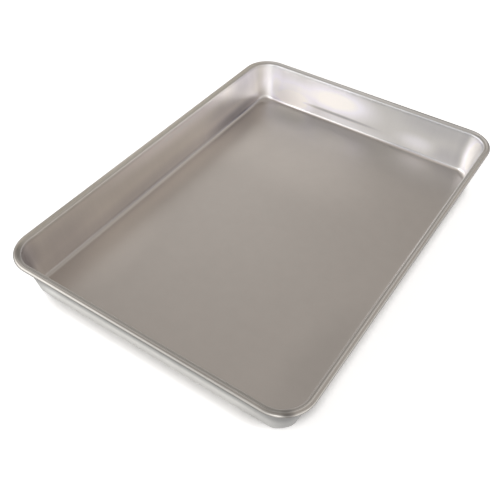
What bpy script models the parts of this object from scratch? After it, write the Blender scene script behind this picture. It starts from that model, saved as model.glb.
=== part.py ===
"""Sheet cake pan: one pressed aluminium sheet whose edge is rolled round a steel hoop.

Metres, +Z up. The origin is the middle of the underside, X is the short side and Y the long one.
Insets are measured inwards from the outermost edge of the rim.
"""

from math import atan2, cos, pi, radians, sin, sqrt, tan

import bmesh
import bpy
from mathutils import Vector

# Overall size of the pan, over the rolled rim
RIM_WIDTH = 0.3315
RIM_LENGTH = 0.4585
PAN_HEIGHT = 0.0508
SHEET = 0.0009

# Rolled bead and the steel hoop inside it
WIRE_DIAMETER = 0.0025
WIRE_CLEARANCE = 0.0003
WIRE_END_GAP = 0.0012
CURL_END = radians(340)
BEAD_ROOT_RADIUS = 0.0008

# Flat land between the bead and the wall, and the lip where it turns down
LAND_DROP = 0.0009
LAND_WIDTH = 0.0025
LIP_RADIUS = 0.0024

# Drafted wall and the fillet at its foot, which the draw leaves larger in the four corners
WALL_RUN = 0.0099
SIDE_FILLET = 0.0045
CORNER_FILLET = 0.0090

# Corner radii seen from above, at the rim's edge and at the foot of the wall
RIM_CORNER = 0.033
BASE_CORNER = 0.017

# Facets
CORNER_STEPS = 12
FILLET_STEPS = 6
LIP_STEPS = 5
BEAD_ROOT_STEPS = 3
BEAD_CROWN_STEPS = 3
BEAD_SIDE_STEPS = 6
BEAD_CURL_STEPS = 10
WIRE_ROUNDNESS = 4

# Sizes that follow from those above
BEAD_RADIUS = WIRE_DIAMETER / 2 + WIRE_CLEARANCE + SHEET
BEAD_CENTRE_HEIGHT = PAN_HEIGHT - BEAD_RADIUS
LAND_HEIGHT = PAN_HEIGHT - LAND_DROP
ROOT_RISE = LAND_HEIGHT + BEAD_ROOT_RADIUS - BEAD_CENTRE_HEIGHT
ROOT_REACH = sqrt((BEAD_RADIUS + BEAD_ROOT_RADIUS) ** 2 - ROOT_RISE ** 2)
ROOT_INSET = BEAD_RADIUS + ROOT_REACH
ROOT_ANGLE = atan2(ROOT_RISE, ROOT_REACH)
WALL_TOP_INSET = ROOT_INSET + LAND_WIDTH
WALL_FOOT_INSET = WALL_TOP_INSET + WALL_RUN


def arc(centre, radius, start, end, steps):
    """Points (inset, height) on an arc, its ends included."""
    angles = [start + (end - start) * step / steps for step in range(steps + 1)]
    return [(centre[0] + radius * cos(angle), centre[1] + radius * sin(angle)) for angle in angles]


def rounded(before, corner, after, radius, steps):
    """The arc that rounds the corner between two straight stretches of the section."""
    corner = Vector(corner)
    back = (Vector(before) - corner).normalized()
    onward = (Vector(after) - corner).normalized()
    half_angle = back.angle(onward) / 2
    centre = corner + (back + onward).normalized() * radius / sin(half_angle)
    first = corner + back * radius / tan(half_angle) - centre
    last = corner + onward * radius / tan(half_angle) - centre
    start = atan2(first.y, first.x)
    turn = (atan2(last.y, last.x) - start + pi) % (2 * pi) - pi
    return arc(centre, radius, start, start + turn, steps)


def sheet_section(fillet):
    """The upper face of the sheet, from the edge of the flat base to the cut edge of the curl."""
    base_middle = (RIM_WIDTH / 2, SHEET)
    wall_foot = (WALL_FOOT_INSET, SHEET)
    wall_top = (WALL_TOP_INSET, LAND_HEIGHT)
    bead_root = (ROOT_INSET, LAND_HEIGHT)
    root_centre = (ROOT_INSET, LAND_HEIGHT + BEAD_ROOT_RADIUS)
    bead_centre = (BEAD_RADIUS, BEAD_CENTRE_HEIGHT)
    return (
        rounded(base_middle, wall_foot, wall_top, fillet, FILLET_STEPS)
        + rounded(wall_foot, wall_top, bead_root, LIP_RADIUS, LIP_STEPS)
        + arc(root_centre, BEAD_ROOT_RADIUS, 1.5 * pi, pi + ROOT_ANGLE, BEAD_ROOT_STEPS)
        + arc(bead_centre, BEAD_RADIUS, ROOT_ANGLE, pi / 2, BEAD_CROWN_STEPS)[1:]
        + arc(bead_centre, BEAD_RADIUS, pi / 2, pi, BEAD_SIDE_STEPS)[1:]
        + arc(bead_centre, BEAD_RADIUS, pi, CURL_END, BEAD_CURL_STEPS)[1:]
    )


def corner_radius(inset):
    """The rim's corners share one centre; down the wall the corner eases to the radius of the base."""
    wall_top_corner = RIM_CORNER - WALL_TOP_INSET
    if inset <= WALL_TOP_INSET:
        return RIM_CORNER - inset
    if inset <= WALL_FOOT_INSET:
        share = (inset - WALL_TOP_INSET) / WALL_RUN
        return wall_top_corner + (BASE_CORNER - wall_top_corner) * share
    return BASE_CORNER - (inset - WALL_FOOT_INSET)


def outline(insets, heights):
    """A rounded rectangle round the pan, anticlockwise from the end of the +X side.

    The inset and the height are given for each step round a corner, from one side to the next.
    """
    points = []
    for quarter, (side_x, side_y) in enumerate(((1, 1), (-1, 1), (-1, -1), (1, -1))):
        for step, (inset, height) in enumerate(zip(insets, heights)):
            radius = corner_radius(inset)
            angle = (quarter + step / CORNER_STEPS) * pi / 2
            points.append(Vector((
                side_x * (RIM_WIDTH / 2 - inset - radius) + radius * cos(angle),
                side_y * (RIM_LENGTH / 2 - inset - radius) + radius * sin(angle),
                height,
            )))
    return points


def sheet_outlines():
    """The section's points carried round the pan, with its fillet swelling into each corner."""
    sections = []
    for step in range(CORNER_STEPS + 1):
        swell = sin(pi * step / CORNER_STEPS) ** 2
        sections.append(sheet_section(SIDE_FILLET + (CORNER_FILLET - SIDE_FILLET) * swell))
    outlines = []
    for level in zip(*sections):
        insets, heights = zip(*level)
        outlines.append(outline(insets, heights))
    return outlines


def metal(name, colour, roughness):
    material = bpy.data.materials.new(name)
    material.use_nodes = True
    shader = material.node_tree.nodes["Principled BSDF"]
    shader.inputs["Base Color"].default_value = (*colour, 1)
    shader.inputs["Metallic"].default_value = 1
    shader.inputs["Roughness"].default_value = roughness
    return material


def pull_up(mesh, edges, numbers, points):
    """Extrudes the open edge of the sheet onto the next outline.

    The numbers say which point of an outline each corner of the edge stands on.
    """
    made = bmesh.ops.extrude_edge_only(mesh, edges=edges)["geom"]
    new_edges = [part for part in made if isinstance(part, bmesh.types.BMEdge)]
    new_numbers = {}
    for corner in (part for part in made if isinstance(part, bmesh.types.BMVert)):
        neighbours = [edge.other_vert(corner) for edge in corner.link_edges]
        below = next(neighbour for neighbour in neighbours if neighbour in numbers)
        new_numbers[corner] = numbers[below]
        corner.co = points[numbers[below]]
    return new_edges, new_numbers


def pressed_pan(collection, parent):
    """The flat base, pulled up outline by outline along the section and then given its thickness."""
    outlines = sheet_outlines()
    mesh = bmesh.new()
    base = bmesh.ops.create_circle(mesh, cap_ends=True, segments=len(outlines[0]), radius=1)
    numbers = {}
    for number, corner in enumerate(base["verts"]):
        numbers[corner] = number
        corner.co = outlines[0][number]
    edges = list(mesh.edges)
    for points in outlines[1:]:
        edges, numbers = pull_up(mesh, edges, numbers, points)
    bmesh.ops.recalc_face_normals(mesh, faces=mesh.faces)
    largest = max(mesh.faces, key=lambda face: face.calc_area())
    if largest.normal.z < 0:
        bmesh.ops.reverse_faces(mesh, faces=mesh.faces)

    data = bpy.data.meshes.new("pan_body")
    mesh.to_mesh(data)
    mesh.free()
    data.shade_smooth()
    data.set_sharp_from_angle(angle=radians(40))
    data.materials.append(metal("natural_aluminium", (0.62, 0.59, 0.56), 0.38))
    pan = bpy.data.objects.new("pan_body", data)
    collection.objects.link(pan)
    pan.parent = parent
    wall = pan.modifiers.new("Sheet", "SOLIDIFY")
    wall.thickness = SHEET
    wall.offset = -1
    wall.use_even_offset = True


def rim_hoop(collection, parent):
    """One length of wire bent round the rim. Its ends meet in the middle of the +X side."""
    corner_points = CORNER_STEPS + 1
    ring = outline([BEAD_RADIUS] * corner_points, [0] * corner_points)
    side = ring[0].x
    start = Vector((side, WIRE_END_GAP / 2, 0))
    end = Vector((side, -WIRE_END_GAP / 2, 0))
    route = [start, *ring, end]
    curve = bpy.data.curves.new("rim_wire", "CURVE")
    curve.dimensions = "3D"
    curve.bevel_depth = WIRE_DIAMETER / 2
    curve.bevel_resolution = WIRE_ROUNDNESS
    curve.use_fill_caps = True
    spline = curve.splines.new("POLY")
    spline.points.add(len(route) - 1)
    for point, place in zip(spline.points, route):
        point.co = (*place, 1)
    curve.materials.append(metal("galvanised_steel", (0.55, 0.56, 0.57), 0.45))
    wire = bpy.data.objects.new("rim_wire", curve)
    wire.location.z = BEAD_CENTRE_HEIGHT
    collection.objects.link(wire)
    wire.parent = parent


def main():
    for old in list(bpy.data.objects):
        bpy.data.objects.remove(old)
    collection = bpy.data.collections.new("sheet_cake_pan")
    bpy.context.scene.collection.children.link(collection)
    stand = bpy.data.objects.new("pan_origin", None)
    collection.objects.link(stand)
    pressed_pan(collection, stand)
    rim_hoop(collection, stand)


main()
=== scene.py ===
from math import atan2, cos, pi, radians, sin, sqrt, tan

import bmesh
import bpy
from mathutils import Matrix, Vector


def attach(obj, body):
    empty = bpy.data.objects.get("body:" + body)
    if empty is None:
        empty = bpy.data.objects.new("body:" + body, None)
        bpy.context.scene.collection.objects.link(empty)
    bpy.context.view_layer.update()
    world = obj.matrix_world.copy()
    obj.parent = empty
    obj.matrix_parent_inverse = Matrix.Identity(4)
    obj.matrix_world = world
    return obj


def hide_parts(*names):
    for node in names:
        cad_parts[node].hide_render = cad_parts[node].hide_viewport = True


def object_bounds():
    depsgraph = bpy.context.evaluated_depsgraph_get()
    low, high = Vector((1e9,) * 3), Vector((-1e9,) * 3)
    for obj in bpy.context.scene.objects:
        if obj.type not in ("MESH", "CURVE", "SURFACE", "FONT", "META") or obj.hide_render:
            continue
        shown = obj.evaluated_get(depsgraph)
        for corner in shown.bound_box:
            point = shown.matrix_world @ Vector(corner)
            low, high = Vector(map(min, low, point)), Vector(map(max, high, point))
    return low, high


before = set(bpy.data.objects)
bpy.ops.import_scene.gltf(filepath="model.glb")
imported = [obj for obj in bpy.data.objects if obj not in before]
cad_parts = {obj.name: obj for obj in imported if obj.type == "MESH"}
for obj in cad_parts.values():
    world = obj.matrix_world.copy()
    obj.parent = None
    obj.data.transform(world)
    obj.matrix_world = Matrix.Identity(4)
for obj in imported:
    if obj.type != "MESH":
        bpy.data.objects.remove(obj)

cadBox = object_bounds()
scene = bpy.context.scene
cadSides = cadBox[1] - cadBox[0]
print("frame loaded, the pan measures", [round(1000 * side, 1) for side in cadSides], "mm")


# Node helpers, shared by the geometry tree, the finishes and the light tent

def addNode(tree, kind, inputs=None, **settings):
    node = tree.nodes.new(kind)
    for name, value in settings.items():
        setattr(node, name, value)
    for key, value in (inputs or {}).items():
        if isinstance(value, bpy.types.NodeSocket):
            tree.links.new(value, node.inputs[key])
        else:
            node.inputs[key].default_value = value
    return node


def calc(tree, operation, *values):
    return addNode(tree, "ShaderNodeMath", dict(enumerate(values)), operation=operation).outputs[0]


def vectorCalc(tree, operation, *values):
    return addNode(tree, "ShaderNodeVectorMath",
                   dict(enumerate(values)), operation=operation).outputs[0]


def plus(tree, one, other):
    return vectorCalc(tree, "ADD", one, other)


def times(tree, vector, factor):
    return addNode(tree, "ShaderNodeVectorMath",
                   {0: vector, "Scale": factor}, operation="SCALE").outputs[0]


# Goes smoothly from low to high while the value goes from start to end
def ramp(tree, value, start, end, low=0.0, high=1.0):
    ends = {"From Min": start, "From Max": end, "To Min": low, "To Max": high}
    return addNode(tree, "ShaderNodeMapRange",
                   {"Value": value, **ends}, interpolation_type="SMOOTHSTEP").outputs[0]


def named(tree, name, kind="FLOAT"):
    return addNode(tree, "GeometryNodeInputNamedAttribute",
                   {"Name": name}, data_type=kind).outputs[0]


# The pressed sheet. Insets run inwards from the rim's outer edge, heights up from the table

panSizes = {
    "rim width": cadSides.x,
    "rim length": cadSides.y,
    "rim height": cadBox[1].z,
    "sheet": 0.0009,
    "bead radius": 0.00245,
    "bead root": 0.0008,
    "land drop": 0.0009,
    "land width": 0.0025,
    "lip radius": 0.0024,
    "wall run": 0.0099,
    "side fillet": 0.0045,
    "corner fillet": 0.0090,
    "rim corner": 0.033,
    "curl end": radians(340),
    "floor margin": 0.003,   # flat ring of the base that is carried round with the walls
    "step": 0.0026,          # spacing of the section's copies round the rim
    "corner points": 32,
    "fillet steps": 12,
    "wall steps": 10,
    "lip steps": 8,
    "bead root steps": 5,
    "curl steps": 28,
    "weld": 0.00002,
    "sharp from": radians(40),
}


def arc(centre, radius, start, end, steps):
    angles = [start + (end - start) * step / steps for step in range(steps + 1)]
    return [Vector((centre[0] + radius * cos(angle), centre[1] + radius * sin(angle)))
            for angle in angles]


def rounded(before, corner, after, radius, steps):
    corner = Vector(corner)
    back = (Vector(before) - corner).normalized()
    onward = (Vector(after) - corner).normalized()
    halfAngle = back.angle(onward) / 2
    centre = corner + (back + onward).normalized() * radius / sin(halfAngle)
    first = corner + back * radius / tan(halfAngle) - centre
    last = corner + onward * radius / tan(halfAngle) - centre
    start = atan2(first.y, first.x)
    turn = (atan2(last.y, last.x) - start + pi) % (2 * pi) - pi
    return arc(centre, radius, start, start + turn, steps)


# Each stretch is (zone at its start, zone at its end, points), from the base to the curl's cut edge.
# The finish tells the zones apart: 0 is the base, 1 the wall, 2 the land, 3 the bead, 4 the cut edge
def panStretches(fillet):
    bead, root = panSizes["bead radius"], panSizes["bead root"]
    beadHeight = panSizes["rim height"] - bead
    landHeight = panSizes["rim height"] - panSizes["land drop"]
    rise = landHeight + root - beadHeight
    reach = sqrt((bead + root) ** 2 - rise ** 2)
    rootAngle = atan2(rise, reach)
    landStart = (bead + reach, landHeight)
    wallTop = Vector((landStart[0] + panSizes["land width"], landHeight))
    wallFoot = Vector((wallTop.x + panSizes["wall run"], panSizes["sheet"]))
    baseMiddle = (panSizes["rim width"] / 2, panSizes["sheet"])
    foot = rounded(baseMiddle, wallFoot, wallTop, fillet, panSizes["fillet steps"])
    lip = rounded(wallFoot, wallTop, landStart, panSizes["lip radius"], panSizes["lip steps"])
    floorEdge = [foot[0] + Vector((panSizes["floor margin"] * share, 0)) for share in (1, 0.5)]
    wallSteps = panSizes["wall steps"]
    wall = [foot[-1].lerp(lip[0], step / wallSteps) for step in range(1, wallSteps)]
    rootCentre = (landStart[0], landHeight + root)
    beadRoot = arc(rootCentre, root, 1.5 * pi, pi + rootAngle, panSizes["bead root steps"])
    curl = arc((bead, beadHeight), bead, rootAngle, panSizes["curl end"], panSizes["curl steps"])
    return [(0, 0, floorEdge), (0, 1, foot), (1, 1, wall), (1, 2, lip),
            (2, 3, beadRoot), (3, 4, curl[1:])]


def panSection(fillet):
    points, zones = [], []
    for start, end, line in panStretches(fillet):
        for number, point in enumerate(line):
            points.append(point)
            zones.append(start + (end - start) * number / (len(line) - 1))
    return points, zones


# One row of points along the side's section, with how far each moves in the middle of a corner
def sectionMesh():
    side, zones = panSection(panSizes["side fillet"])
    corner = panSection(panSizes["corner fillet"])[0]
    mesh = bpy.data.meshes.new("panSection")
    edges = [(number, number + 1) for number in range(len(side) - 1)]
    mesh.from_pydata([(*point, 0) for point in side], edges, [])
    for name, kind in (("swell", "FLOAT_VECTOR"), ("drawn", "FLOAT"), ("zone", "FLOAT")):
        mesh.attributes.new(name, kind, "POINT")
    swell, drawn, zone = (mesh.attributes[name].data for name in ("swell", "drawn", "zone"))
    travel = 0
    for number, point in enumerate(side):
        if number:
            travel += (point - side[number - 1]).length
        swell[number].vector = (*(corner[number] - point), 0)
        drawn[number].value = travel
        zone[number].value = zones[number]
    return mesh


# The tree carries the section round the rim's outline and fills the flat base
def panTree():
    tree = bpy.data.node_groups.new("carrySectionRound", "GeometryNodeTree")
    tree.interface.new_socket("Geometry", in_out="OUTPUT", socket_type="NodeSocketGeometry")
    for name, kind in (
        ("Section", "Object"),
        ("Rim Width", "Float"),
        ("Rim Length", "Float"),
        ("Rim Corner", "Float"),
        ("Corner Points", "Int"),
        ("Step", "Float"),
        ("Floor Inset", "Float"),
        ("Floor Swell", "Float"),
        ("Floor Height", "Float"),
        ("Weld", "Float"),
        ("Finish", "Material"),
    ):
        tree.interface.new_socket(name, in_out="INPUT", socket_type="NodeSocket" + kind)
    given = addNode(tree, "NodeGroupInput").outputs

    box = addNode(tree, "GeometryNodeCurvePrimitiveQuadrilateral",
                  {"Width": given["Rim Width"], "Height": given["Rim Length"]})
    filleted = addNode(tree, "GeometryNodeFilletCurve",
                       {"Curve": box.outputs[0], "Radius": given["Rim Corner"],
                        "Count": given["Corner Points"]},
                       mode="POLY")
    path = addNode(tree, "GeometryNodeResampleCurve",
                   {"Curve": filleted.outputs[0], "Length": given["Step"]}, mode="LENGTH")
    place = addNode(tree, "GeometryNodeInputPosition").outputs[0]
    tangent = addNode(tree, "GeometryNodeInputTangent").outputs[0]
    inward = vectorCalc(tree, "CROSS_PRODUCT", (0, 0, 1), tangent)
    parts = addNode(tree, "ShaderNodeSeparateXYZ", {0: tangent}).outputs
    doubled = calc(tree, "MULTIPLY", calc(tree, "MULTIPLY", parts["X"], parts["Y"]), 2.0)
    turning = calc(tree, "MULTIPLY", doubled, doubled)   # 0 along the sides, 1 halfway round a corner
    curve = path.outputs[0]
    for name, kind, value in (("rimPlace", "FLOAT_VECTOR", place),
                              ("inward", "FLOAT_VECTOR", inward),
                              ("cornerness", "FLOAT", turning)):
        curve = addNode(tree, "GeometryNodeStoreNamedAttribute",
                        {"Geometry": curve, "Name": name, "Value": value}, data_type=kind).outputs[0]

    # The section is a row of points with its inset along X and its height along Y
    section = addNode(tree, "GeometryNodeObjectInfo", {"Object": given["Section"]}).outputs["Geometry"]
    section = addNode(tree, "GeometryNodeMeshToCurve", {"Mesh": section}).outputs[0]
    section = addNode(tree, "GeometryNodeStoreNamedAttribute",
                      {"Geometry": section, "Name": "insetHeight", "Value": place},
                      data_type="FLOAT_VECTOR").outputs[0]
    wall = addNode(tree, "GeometryNodeCurveToMesh",
                   {"Curve": curve, "Profile Curve": section}).outputs[0]
    swelling = times(tree, named(tree, "swell", "FLOAT_VECTOR"), named(tree, "cornerness"))
    flat = plus(tree, named(tree, "insetHeight", "FLOAT_VECTOR"), swelling)
    flatParts = addNode(tree, "ShaderNodeSeparateXYZ", {0: flat}).outputs
    across = times(tree, named(tree, "inward", "FLOAT_VECTOR"), flatParts["X"])
    up = addNode(tree, "ShaderNodeCombineXYZ", {"Z": flatParts["Y"]}).outputs[0]
    placed = plus(tree, plus(tree, named(tree, "rimPlace", "FLOAT_VECTOR"), across), up)
    wall = addNode(tree, "GeometryNodeSetPosition", {"Geometry": wall, "Position": placed}).outputs[0]

    # The flat base fills the ring where the section starts
    floorInset = calc(tree, "MULTIPLY_ADD",
                      given["Floor Swell"], named(tree, "cornerness"), given["Floor Inset"])
    inwards = times(tree, named(tree, "inward", "FLOAT_VECTOR"), floorInset)
    ringPlace = plus(tree, named(tree, "rimPlace", "FLOAT_VECTOR"), inwards)
    ring = addNode(tree, "GeometryNodeSetPosition",
                   {"Geometry": curve, "Position": ringPlace}).outputs[0]
    floor = addNode(tree, "GeometryNodeFillCurve", {"Curve": ring}, mode="NGONS").outputs[0]
    floorUp = addNode(tree, "ShaderNodeCombineXYZ", {"Z": given["Floor Height"]}).outputs[0]
    floor = addNode(tree, "GeometryNodeSetPosition",
                    {"Geometry": floor, "Offset": floorUp}).outputs[0]

    whole = addNode(tree, "GeometryNodeJoinGeometry")
    tree.links.new(wall, whole.inputs[0])
    tree.links.new(floor, whole.inputs[0])
    merged = addNode(tree, "GeometryNodeMergeByDistance",
                     {"Geometry": whole.outputs[0], "Distance": given["Weld"]})
    smooth = addNode(tree, "GeometryNodeSetShadeSmooth", {"Geometry": merged.outputs[0]})
    real = addNode(tree, "GeometryNodeRealizeInstances", {"Geometry": smooth.outputs[0]})
    done = addNode(tree, "GeometryNodeSetMaterial",
                   {"Geometry": real.outputs[0], "Material": given["Finish"]})
    addNode(tree, "NodeGroupOutput", {0: done.outputs[0]})
    return tree


def plainMesh(piece):
    graph = bpy.context.evaluated_depsgraph_get()
    mesh = bpy.data.meshes.new_from_object(piece.evaluated_get(graph), depsgraph=graph)
    piece.modifiers.clear()
    piece.data = mesh
    return mesh


def grow(tree, settings, name):
    piece = bpy.data.objects.new(name, bpy.data.meshes.new(name))
    scene.collection.objects.link(piece)
    modifier = piece.modifiers.new("nodes", "NODES")
    modifier.node_group = tree
    for item in tree.interface.items_tree:
        if item.in_out == "INPUT":
            modifier[item.identifier] = settings[item.name]
    plainMesh(piece)
    return piece


# Turns the sheet's faces upwards, towards the inside of the pan
def faceUp(mesh):
    shell = bmesh.new()
    shell.from_mesh(mesh)
    bmesh.ops.recalc_face_normals(shell, faces=shell.faces)
    floor = max(shell.faces, key=lambda face: face.calc_area())
    if floor.normal.z < 0:
        bmesh.ops.reverse_faces(shell, faces=shell.faces)
    shell.to_mesh(mesh)
    shell.free()


def makePan(inside, outside):
    section = bpy.data.objects.new("panSection", sectionMesh())
    scene.collection.objects.link(section)
    sideStart = panSection(panSizes["side fillet"])[0][0]
    cornerStart = panSection(panSizes["corner fillet"])[0][0]
    pan = grow(panTree(), {
        "Section": section,
        "Rim Width": panSizes["rim width"],
        "Rim Length": panSizes["rim length"],
        "Rim Corner": panSizes["rim corner"],
        "Corner Points": panSizes["corner points"],
        "Step": panSizes["step"],
        "Floor Inset": sideStart.x,
        "Floor Swell": cornerStart.x - sideStart.x,
        "Floor Height": panSizes["sheet"],
        "Weld": panSizes["weld"],
        "Finish": inside,
    }, "pressedPan")
    bpy.data.objects.remove(section)
    faceUp(pan.data)
    # The first material is the inside's, so an empty slot goes, and the thickness gets the second one
    for number in reversed(range(len(pan.data.materials))):
        if pan.data.materials[number] is None:
            pan.data.materials.pop(index=number)
    pan.data.materials.append(outside)
    wall = pan.modifiers.new("sheet", "SOLIDIFY")
    wall.thickness = panSizes["sheet"]
    wall.offset = -1
    wall.use_even_offset = True
    wall.material_offset = 1
    solid = plainMesh(pan)
    solid.shade_smooth()
    solid.set_sharp_from_angle(angle=panSizes["sharp from"])
    finishes = [finish.name for finish in solid.materials]
    print("pressed pan made,", len(solid.polygons), "faces,", finishes)
    return pan


# Finishes

def newFinish(name):
    material = bpy.data.materials.new(name)
    material.use_nodes = True
    tree = material.node_tree
    return material, tree, tree.nodes["Principled BSDF"]


def attribute(tree, name, output="Fac"):
    return addNode(tree, "ShaderNodeAttribute", attribute_name=name).outputs[output]


def noise(tree, vector, size, detail=2.0, harshness=0.5):
    settings = {"Vector": vector, "Scale": 1 / size, "Detail": detail, "Roughness": harshness}
    return addNode(tree, "ShaderNodeTexNoise", settings).outputs[0]


def mixed(tree, factor, one, other):
    return addNode(tree, "ShaderNodeMix", {0: factor, 2: one, 3: other}).outputs[0]


def mixedColour(tree, factor, one, other):
    return addNode(tree, "ShaderNodeMix", {0: factor, 6: one, 7: other}, data_type="RGBA").outputs[2]


# The pattern runs from 0 to 1 and moves the value up and down by half the depth
def varied(tree, value, pattern, depth):
    return calc(tree, "MULTIPLY_ADD", calc(tree, "SUBTRACT", pattern, 0.5), depth, value)


def finishMetal(tree, shader, colour, roughness, relief=None):
    tree.links.new(colour, shader.inputs["Base Color"])
    tree.links.new(roughness, shader.inputs["Roughness"])
    shader.inputs["Metallic"].default_value = 1
    if relief is not None:
        bump = addNode(tree, "ShaderNodeBump", {"Height": relief, "Strength": 1.0, "Distance": 1.0})
        tree.links.new(bump.outputs[0], shader.inputs["Normal"])


# Sizes of the patterns are in metres, heights of the relief too
insideLook = {
    "base colour": (0.64, 0.605, 0.57, 1),
    # Painted light and shade: each side of the wall, lip and rim has its own brightness, for how the
    # light falls on it
    "wall colours with painted side light": {
        "far": (0.616, 0.62, 0.622, 1),
        "near": (0.80, 0.795, 0.785, 1),
        "left": (0.85, 0.80, 0.75, 1),
        "right": (0.80, 0.795, 0.785, 1),
    },
    "rim colours with painted side light": {
        "far": (0.765, 0.76, 0.745, 1),
        "near": (0.54, 0.52, 0.49, 1),
        "left": (0.725, 0.685, 0.62, 1),
        "right": (0.57, 0.545, 0.51, 1),
    },
    "lip colours with painted side light": {
        "far": (0.64, 0.635, 0.625, 1),
        "near": (0.42, 0.405, 0.38, 1),
        "left": (0.67, 0.64, 0.59, 1),
        "right": (0.46, 0.44, 0.415, 1),
    },
    "side fade": (-0.5, 0.5),   # the colours of opposite sides meet over this range of facing
    "off base zones": (0.45, 0.75),
    "wall zones": (0.55, 0.95),
    "below lip zones": (1.25, 1.5),
    "lip zones": (1.2, 1.6),
    "rim zones": (1.95, 2.2),
    "bead zones": (2.5, 3),
    "wall top": (0.044, 0.0475),
    "wall top shade": 0.16,     # how much darker the wall looks over those heights
    "base roughness": 0.31,
    "wall roughness": 0.31,
    "corner roughness": 0.38,
    "rim roughness": 0.31,
    "roughness drift": 0.03,
    "cloud size": 0.09,
    "cloud depth": 0.05,
    "blotch size": 0.014,
    "blotch depth": 0.05,
    "grain size": 0.0013,
    "grain depth": 0.05,
    "streak size": 0.004,
    "streak depth": 0.06,
    "streak change": 0.08,      # how fast streaks and puckers change up the wall, against 1 round it
    "wave change": 4.0,         # the same for the waves
    "wave size": 0.05,
    "wave height": 0.00008,
    "pucker size": 0.005,
    "pucker height": 0.00005,
    "edge turn": (0.3, 0.75),   # painted shade: the bead darkens as it turns away from the view over this range
    "edge shade": 0.85,
    "mark core": 0.1,           # the share of its reach over which a mark has its full strength
    "mark coolness": 0.2,       # how much bluer the walls' places of painted light and shade look
    "grain height": 0.000001,
}
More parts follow.
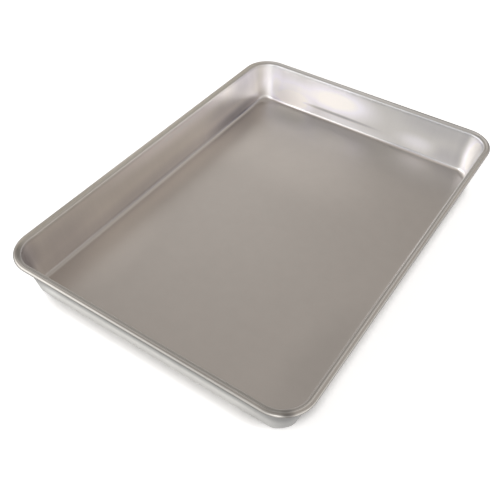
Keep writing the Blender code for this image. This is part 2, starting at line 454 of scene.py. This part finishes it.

# Soft places of painted light and shade on the inside, standing in for brighter and darker reflections:
# (middle, reach, both in metres, how much lighter)
insideMarks = {
    "walls": {
        "painted light, far wall": ((-0.045, 0.217, 0.030), (0.080, 0.03, 0.028), 0.67),
        "painted light, far wall's upper middle": ((-0.015, 0.219, 0.037), (0.045, 0.03, 0.018), 0.08),
        "painted light, far wall's lower left": ((-0.100, 0.213, 0.0105), (0.040, 0.03, 0.016), 0.69),
        "painted light, far wall's upper left": ((-0.105, 0.217, 0.028), (0.035, 0.03, 0.018), 0.15),
        "painted light, far wall's left end": ((-0.130, 0.217, 0.020), (0.060, 0.014, 0.045), 0.43),
        "painted light, far wall's lower edge": ((-0.03, 0.213, 0.006), (0.09, 0.03, 0.008), 0.20),
        "painted light, far wall's right end": ((0.075, 0.215, 0.016), (0.035, 0.03, 0.013), 0.26),
        "painted shade line, far wall": ((-0.038, 0.2145, 0.0135), (0.075, 0.03, 0.0028), -0.62),
        "painted shade, far wall's top right": ((0.090, 0.220, 0.043), (0.070, 0.03, 0.022), -0.12),
        "painted shade, far wall's right end": ((0.115, 0.214, 0.010), (0.030, 0.03, 0.020), -0.18),
        "painted shade, far wall's last stretch": ((0.136, 0.216, 0.025), (0.015, 0.03, 0.06), -0.15),
        "painted light, far right corner": ((0.1435, 0.2135, 0.027), (0.016, 0.016, 0.045), 0.74),
        "painted light, far right corner's top": ((0.1515, 0.2085, 0.041), (0.012, 0.012, 0.022), 0.32),
        "painted light, far right corner's foot": ((0.137, 0.2075, 0.0025), (0.014, 0.012, 0.006), 0.22),
        "painted light, far left corner": ((-0.134, 0.217, 0.026), (0.012, 0.02, 0.04), 0.14),
        "painted light, far left corner's turn": ((-0.149, 0.209, 0.024), (0.012, 0.02, 0.014), 0.12),
        "painted light, left wall": ((-0.156, 0.03, 0.044), (0.03, 0.17, 0.016), 0.20),
        "painted shade, far left corner": ((-0.1416, 0.2153, 0.02), (0.007, 0.012, 0.05), -0.18),
        "painted shade, far wall's fillet": ((0.070, 0.2095, 0.002), (0.072, 0.01, 0.005), -0.45),
        "painted shade, left wall's lower half": ((-0.149, -0.02, 0.007), (0.03, 0.27, 0.016), -0.20),
        "painted shade, left wall's fillet": ((-0.149, -0.01, 0.0043), (0.02, 0.25, 0.0035), -0.15),
        "painted shade, left wall's far foot": ((-0.149, 0.145, 0.008), (0.03, 0.085, 0.012), -0.46),
        "painted shade, left wall's far fillet": ((-0.146, 0.170, 0.0025), (0.02, 0.05, 0.004), -0.36),
        "painted shade, left wall's middle": ((-0.153, 0.120, 0.024), (0.03, 0.05, 0.014), -0.14),
        "painted shade, left wall's far top": ((-0.158, 0.172, 0.038), (0.03, 0.045, 0.035), -0.36),
        "painted shade, left wall's near end": ((-0.154, -0.165, 0.024), (0.03, 0.07, 0.030), -0.15),
        "painted shade, near left corner": ((-0.152, -0.215, 0.036), (0.03, 0.03, 0.035), -0.36),
    },
    "base": {
        "painted light, left edge": ((-0.142, 0.03, 0.001), (0.022, 0.21, 0.01), 0.27),
        "painted light, near left": ((-0.122, -0.13, 0.001), (0.045, 0.11, 0.01), 0.17),
        "painted light, far left": ((-0.118, 0.11, 0.001), (0.045, 0.075, 0.01), 0.13),
        "painted light, far half": ((-0.02, 0.105, 0.001), (0.13, 0.07, 0.01), 0.10),
        "painted shade, far left": ((-0.095, 0.192, 0.001), (0.050, 0.032, 0.01), -0.22),
        "painted light, far edge's right end": ((0.10, 0.200, 0.001), (0.075, 0.05, 0.01), 0.20),
        "painted shade, far edge": ((-0.05, 0.195, 0.001), (0.11, 0.038, 0.01), -0.17),
        "painted shade, near right": ((0.14, -0.14, 0.001), (0.045, 0.13, 0.01), -0.10),
    },
    "rim": {
        "painted light, crown": ((0.0, 0.0, 0.0508), (10.0, 10.0, 0.0009), 0.16),
        "painted light, right side's far end": ((0.162, 0.15, 0.0495), (0.02, 0.13, 0.01), 0.30),
        "painted shade, near left corner": ((-0.161, -0.212, 0.0465), (0.012, 0.05, 0.005), -0.32),
        "painted shade, near right corner": ((0.1535, -0.2210, 0.0490), (0.009, 0.009, 0.003), -0.60),
        "painted shade, near right crown": ((0.147, -0.2230, 0.0507), (0.022, 0.014, 0.0014), -0.40),
        "painted shade, near left crown": ((-0.153, -0.2165, 0.0505), (0.020, 0.020, 0.0022), -0.48),
        "painted shade, near side": ((0.06, -0.2290, 0.0485), (0.24, 0.005, 0.005), -0.41),
        "painted shade, far side's right end": ((0.09, 0.225, 0.049), (0.10, 0.02, 0.01), -0.07),
        "painted shade, far side's crown": ((0.085, 0.2281, 0.0500), (0.17, 0.0038, 0.004), -0.56),
        "painted shade, far side's lip": ((0.04, 0.2211, 0.0490), (0.19, 0.0022, 0.002), -0.40),
        "painted light, far side's land": ((0.03, 0.2236, 0.0499), (0.20, 0.0027, 0.003), 0.40),
        "painted shade, left side's near end": ((-0.1648, -0.15, 0.050), (0.0045, 0.12, 0.005), -0.40),
        "painted shade, right lip's far end": ((0.1595, 0.14, 0.0495), (0.0025, 0.12, 0.01), -0.30),
    },
}


# Adds up the marks' painted light and shade at a place
def markLift(tree, place, marks):
    total = 0.0
    for middle, reach, lift in marks.values():
        away = vectorCalc(tree, "DIVIDE", vectorCalc(tree, "SUBTRACT", place, middle), reach)
        distance = addNode(tree, "ShaderNodeVectorMath", {0: away}, operation="LENGTH").outputs["Value"]
        share = ramp(tree, distance, insideLook["mark core"], 1.0, lift, 0.0)
        total = calc(tree, "ADD", share, total)
    return total


# Mixes four colours, one for each side of the pan, by the way that the place faces; the sides differ by
# painted light and shade, each as bright as the light falls on that side
def bySide(tree, colours):
    fade = insideLook["side fade"]
    facing = addNode(tree, "ShaderNodeSeparateXYZ", {0: attribute(tree, "inward", "Vector")}).outputs
    across = mixedColour(tree, ramp(tree, facing["X"], *fade), colours["right"], colours["left"])
    along = mixedColour(tree, ramp(tree, facing["Y"], *fade), colours["far"], colours["near"])
    return mixedColour(tree, calc(tree, "MULTIPLY", facing["X"], facing["X"]), along, across)


def insideFinish():
    look = insideLook
    material, tree, shader = newFinish("pressedAluminium")
    place = addNode(tree, "ShaderNodeTexCoord").outputs["Object"]
    rimPlace = attribute(tree, "rimPlace", "Vector")
    drawn = attribute(tree, "drawn")
    zone = attribute(tree, "zone")
    corner = attribute(tree, "cornerness")
    onWall = ramp(tree, zone, *look["wall zones"])
    offBase = ramp(tree, zone, *look["off base zones"])
    height = addNode(tree, "ShaderNodeSeparateXYZ", {0: place}).outputs["Z"]
    belowLip = ramp(tree, zone, *look["below lip zones"], 1.0, 0.0)
    onWallTop = calc(tree, "MULTIPLY", ramp(tree, height, *look["wall top"]), belowLip)
    onLip = ramp(tree, zone, *look["lip zones"])
    onRim = ramp(tree, zone, *look["rim zones"])
    onBead = ramp(tree, zone, *look["bead zones"])
    cornerWall = calc(tree, "MULTIPLY", corner, onWall)

    # Streaks and puckers run up the walls, the way the sheet was drawn, and waves run along them
    climb = calc(tree, "MULTIPLY", drawn, look["streak change"])
    upwards = plus(tree, rimPlace, addNode(tree, "ShaderNodeCombineXYZ", {"Z": climb}).outputs[0])
    climb = calc(tree, "MULTIPLY", drawn, look["wave change"])
    along = plus(tree, rimPlace, addNode(tree, "ShaderNodeCombineXYZ", {"Z": climb}).outputs[0])
    clouds = noise(tree, place, look["cloud size"], detail=3)
    blotches = noise(tree, place, look["blotch size"])
    grain = noise(tree, place, look["grain size"], detail=3, harshness=0.6)
    streaks = noise(tree, upwards, look["streak size"], detail=4, harshness=0.6)
    waves = noise(tree, along, look["wave size"])
    puckers = noise(tree, upwards, look["pucker size"], detail=1)

    # The marks paint light and shade onto the walls, base and rim
    wallLift = markLift(tree, place, insideMarks["walls"])
    lift = mixed(tree, offBase, markLift(tree, place, insideMarks["base"]), wallLift)
    lift = mixed(tree, onLip, lift, markLift(tree, place, insideMarks["rim"]))
    onlyWall = calc(tree, "SUBTRACT", offBase, onLip)
    marked = calc(tree, "MULTIPLY", calc(tree, "ABSOLUTE", wallLift), onlyWall)
    bluer = calc(tree, "MULTIPLY_ADD", calc(tree, "MAXIMUM", marked, 0.0), look["mark coolness"], 1.0)
    tint = addNode(tree, "ShaderNodeCombineXYZ", {"X": 1.0, "Y": 1.0, "Z": bluer}).outputs[0]

    tone = mixedColour(tree, onWall, look["base colour"], bySide(tree, look["wall colours with painted side light"]))
    tone = mixedColour(tree, onLip, tone, bySide(tree, look["lip colours with painted side light"]))
    tone = mixedColour(tree, onRim, tone, bySide(tree, look["rim colours with painted side light"]))
    tone = vectorCalc(tree, "MULTIPLY", tone, tint)

    shade = varied(tree, 1.0, clouds, look["cloud depth"])
    shade = varied(tree, shade, blotches, look["blotch depth"])
    shade = varied(tree, shade, grain, look["grain depth"])
    streaky = calc(tree, "MULTIPLY", calc(tree, "SUBTRACT", streaks, 0.5), onWall)
    shade = calc(tree, "ADD", shade, calc(tree, "MULTIPLY", streaky, look["streak depth"]))
    shade = calc(tree, "ADD", shade, lift)
    # Painted shade: the bead darkens along its edges as it turns away from the view, and the wall's top
    # under the lip
    turnedAway = addNode(tree, "ShaderNodeLayerWeight", {"Blend": 0.5}).outputs["Facing"]
    edge = calc(tree, "MULTIPLY", ramp(tree, turnedAway, *look["edge turn"]), onBead)
    for where, darker in ((edge, look["edge shade"]), (onWallTop, look["wall top shade"])):
        shade = calc(tree, "MULTIPLY", shade, calc(tree, "MULTIPLY_ADD", where, -darker, 1.0))

    roughness = mixed(tree, onWall, look["base roughness"], look["wall roughness"])
    roughness = mixed(tree, cornerWall, roughness, look["corner roughness"])
    roughness = mixed(tree, onRim, roughness, look["rim roughness"])
    roughness = varied(tree, roughness, grain, look["roughness drift"])

    waves = calc(tree, "MULTIPLY", waves, onWall)
    puckers = calc(tree, "MULTIPLY", puckers, cornerWall)
    relief = calc(tree, "MULTIPLY", grain, look["grain height"])
    relief = calc(tree, "MULTIPLY_ADD", waves, look["wave height"], relief)
    relief = calc(tree, "MULTIPLY_ADD", puckers, look["pucker height"], relief)
    finishMetal(tree, shader, times(tree, tone, shade), roughness, relief)
    return material


# A brightness is what is left of the metal's own where it is darkest
outsideLook = {
    "colour": (0.715, 0.71, 0.69),
    "roughness": 0.32,
    "roughness drift": 0.03,
    "rim's shade": (0.015, 0.0265),    # painted shade: the wall darkens upwards between these heights, under the rim
    "brightness under rim": 0.33,
    "near side": (-0.19, -0.15),       # painted shade: the ends darken on the near side only, which ends here along Y
    "right end": (0.095, 0.165),       # where the near side's right end darkens, along X
    "brightness at right end": 0.29,
    "easing at right end": 0.5,        # how much less the rim's shade counts there
    "left end": (0.107, 0.142),        # the same at the left end, as distances to the left
    "brightness at left end": 0.46,
    "easing at left end": 0.2,
    "cloud size": 0.07,
    "cloud depth": 0.05,
    "grain size": 0.0012,
    "grain depth": 0.05,
    "grain height": 0.000001,
}


def outsideFinish():
    look = outsideLook
    material, tree, shader = newFinish("outerAluminium")
    place = addNode(tree, "ShaderNodeTexCoord").outputs["Object"]
    clouds = noise(tree, place, look["cloud size"], detail=3)
    grain = noise(tree, place, look["grain size"], detail=3, harshness=0.6)
    shade = varied(tree, 1.0, clouds, look["cloud depth"])
    shade = varied(tree, shade, grain, look["grain depth"])

    # Painted shade under the rim and at the near side's two ends
    parts = addNode(tree, "ShaderNodeSeparateXYZ", {0: place}).outputs
    nearSide = ramp(tree, parts["Y"], *look["near side"], 1.0, 0.0)
    atRight = calc(tree, "MULTIPLY", ramp(tree, parts["X"], *look["right end"]), nearSide)
    leftwards = calc(tree, "MULTIPLY", parts["X"], -1.0)
    atLeft = calc(tree, "MULTIPLY", ramp(tree, leftwards, *look["left end"]), nearSide)
    easing = calc(tree, "MULTIPLY_ADD", atLeft, -look["easing at left end"], 1.0)
    easing = calc(tree, "MULTIPLY_ADD", atRight, -look["easing at right end"], easing)
    underRim = ramp(tree, parts["Z"], *look["rim's shade"], 0.0, look["brightness under rim"] - 1)
    underRim = calc(tree, "MULTIPLY_ADD", underRim, easing, 1.0)
    ends = calc(tree, "MULTIPLY_ADD", atRight, look["brightness at right end"] - 1, 1.0)
    ends = calc(tree, "MULTIPLY_ADD", atLeft, look["brightness at left end"] - 1, ends)
    shade = calc(tree, "MULTIPLY", calc(tree, "MULTIPLY", shade, underRim), ends)

    roughness = varied(tree, look["roughness"], grain, look["roughness drift"])
    relief = calc(tree, "MULTIPLY", grain, look["grain height"])
    finishMetal(tree, shader, times(tree, look["colour"], shade), roughness, relief)
    return material


wireLook = {
    "dull zinc": (0.46, 0.47, 0.48, 1),
    "bright zinc": (0.60, 0.61, 0.62, 1),
    "spangle size": 0.002,
    "smoothest": 0.35,
    "roughest": 0.55,
}


def wireFinish():
    look = wireLook
    material, tree, shader = newFinish("galvanisedWire")
    place = addNode(tree, "ShaderNodeTexCoord").outputs["Object"]
    spangle = addNode(tree, "ShaderNodeTexVoronoi",
                      {"Vector": place, "Scale": 1 / look["spangle size"]}).outputs["Color"]
    share = addNode(tree, "ShaderNodeSeparateColor", {0: spangle}).outputs[0]
    tone = mixedColour(tree, share, look["dull zinc"], look["bright zinc"])
    roughness = mixed(tree, share, look["roughest"], look["smoothest"])
    finishMetal(tree, shader, tone, roughness)
    return material


# Stage: a white table and the light tent round it

tableLook = {
    "size": 12.0,
    "colour": (0.85, 0.85, 0.85, 1),
    "roughness": 0.9,
    "foot sides": (0.2974, 0.4244),   # outline of the pan's foot, round which the white fades in over a painted contact shadow
    "foot corner": 0.044,
    "fade": 0.015,
    "drift": (0.0004, 0.0, 0.0),      # the painted shadow reaches further at the right
    "lift at foot": 0.015,            # added to the table's lit colour as camera and metal see it; lower at the foot, it paints a contact shadow
    "lift beyond": 0.60,
}


# Distance along the table from the outline of the pan's foot
def footDistance(tree):
    look = tableLook
    place = addNode(tree, "ShaderNodeTexCoord").outputs["Object"]
    halves = tuple(side / 2 - look["foot corner"] for side in look["foot sides"])
    place = vectorCalc(tree, "SUBTRACT", place, look["drift"])
    beyond = vectorCalc(tree, "SUBTRACT", vectorCalc(tree, "ABSOLUTE", place), (*halves, 0))
    beyond = vectorCalc(tree, "MAXIMUM", beyond, (0, 0, 0))
    length = addNode(tree, "ShaderNodeVectorMath", {0: beyond}, operation="LENGTH").outputs["Value"]
    return calc(tree, "SUBTRACT", length, look["foot corner"])


def makeTable():
    bpy.ops.mesh.primitive_plane_add(size=tableLook["size"])
    table = bpy.context.object
    table.name = "studioTable"
    material, tree, shader = newFinish("studioTable")
    shader.inputs["Base Color"].default_value = tableLook["colour"]
    shader.inputs["Roughness"].default_value = tableLook["roughness"]
    shader.inputs["Emission Color"].default_value = (1, 1, 1, 1)
    ray = addNode(tree, "ShaderNodeLightPath").outputs
    seen = calc(tree, "MAXIMUM", ray["Is Camera Ray"], ray["Is Glossy Ray"])
    seen = calc(tree, "MAXIMUM", seen, ray["Is Transmission Ray"])
    # Painted shadow: the table's glow is weaker near the pan's foot, so a contact shadow is painted
    # round it
    lift = ramp(tree, footDistance(tree), 0.0, tableLook["fade"],
                tableLook["lift at foot"], tableLook["lift beyond"])
    tree.links.new(calc(tree, "MULTIPLY", seen, lift), shader.inputs["Emission Strength"])
    table.data.materials.append(material)
    print("table made")


# The tent is a dim warm dome over a white horizon, with soft glows.
# Azimuth 0 is in front of the pan and 90 at its right
tentLook = {
    "dome": (0.347, 0.32, 0.298),
    "horizon": (1.0, 1.0, 1.0),
    "horizon height": (0.05, 0.3),   # the white fades between these sines of the elevation
    "focus": 16.0,                   # a glow falls to half its strength 17 degrees from its middle
    "glows": {
        "front right, low": {"azimuth": 20, "elevation": 5, "strength": 2.3},
        "front left, low": {"azimuth": 338, "elevation": 6, "strength": 0.9},
        "front right": {"azimuth": 20, "elevation": 24, "strength": 1.07},
        "front left": {"azimuth": 320, "elevation": 24, "strength": 1.8},
        "left": {"azimuth": 280, "elevation": 24, "strength": 1.65},
        "right": {"azimuth": 80, "elevation": 24, "strength": 0.62},
        "back right": {"azimuth": 140, "elevation": 24, "strength": 0.32},
        "back": {"azimuth": 220, "elevation": 24, "strength": 0.55},
        "front, high": {"azimuth": 0, "elevation": 68, "strength": 0.39},
        "back, high": {"azimuth": 180, "elevation": 68, "strength": 0.22},
    },
}


def makeTent():
    world = bpy.data.worlds.new("lightTent")
    world.use_nodes = True
    tree = world.node_tree
    way = addNode(tree, "ShaderNodeTexCoord").outputs["Generated"]
    height = addNode(tree, "ShaderNodeSeparateXYZ", {0: way}).outputs["Z"]
    overHorizon = ramp(tree, height, *tentLook["horizon height"])
    light = mixedColour(tree, overHorizon, (*tentLook["horizon"], 1), (*tentLook["dome"], 1))
    for glow in tentLook["glows"].values():
        azimuth, elevation = radians(glow["azimuth"]), radians(glow["elevation"])
        middle = (sin(azimuth) * cos(elevation), -cos(azimuth) * cos(elevation), sin(elevation))
        near = addNode(tree, "ShaderNodeVectorMath",
                       {0: way, 1: middle}, operation="DOT_PRODUCT").outputs["Value"]
        near = calc(tree, "POWER", calc(tree, "MAXIMUM", near, 0.0), tentLook["focus"])
        strength = calc(tree, "MULTIPLY", near, glow["strength"])
        light = plus(tree, light, times(tree, (1, 1, 1), strength))
    tree.links.new(light, tree.nodes["Background"].inputs["Color"])
    scene.world = world
    print("light tent made,", len(tentLook["glows"]), "glows")


cameraLook = {
    "place": (0.27603, -0.46937, 0.51041),
    "aim": (0.00289, -0.04776, 0.0028),
    "roll": radians(1.217),
    "lens": 48.2,
    "nearest": 0.01,
}


def makeCamera():
    data = bpy.data.cameras.new("camera")
    data.lens = cameraLook["lens"]
    data.clip_start = cameraLook["nearest"]
    camera = bpy.data.objects.new("camera", data)
    place, aim = Vector(cameraLook["place"]), Vector(cameraLook["aim"])
    turn = (aim - place).to_track_quat("-Z", "Y").to_matrix()
    turn = turn @ Matrix.Rotation(cameraLook["roll"], 3, "Z")
    camera.matrix_world = Matrix.Translation(place) @ turn.to_4x4()
    scene.collection.objects.link(camera)
    scene.camera = camera
    print("camera placed")


makeCamera()
makeTable()
makeTent()

pan = makePan(insideFinish(), outsideFinish())
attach(pan, "root")
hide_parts("pan_body")

wireMetal = wireFinish()
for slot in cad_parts["rim_wire"].material_slots:
    slot.material = wireMetal
print("rim wire finished")

scene.view_settings.view_transform = "Standard"
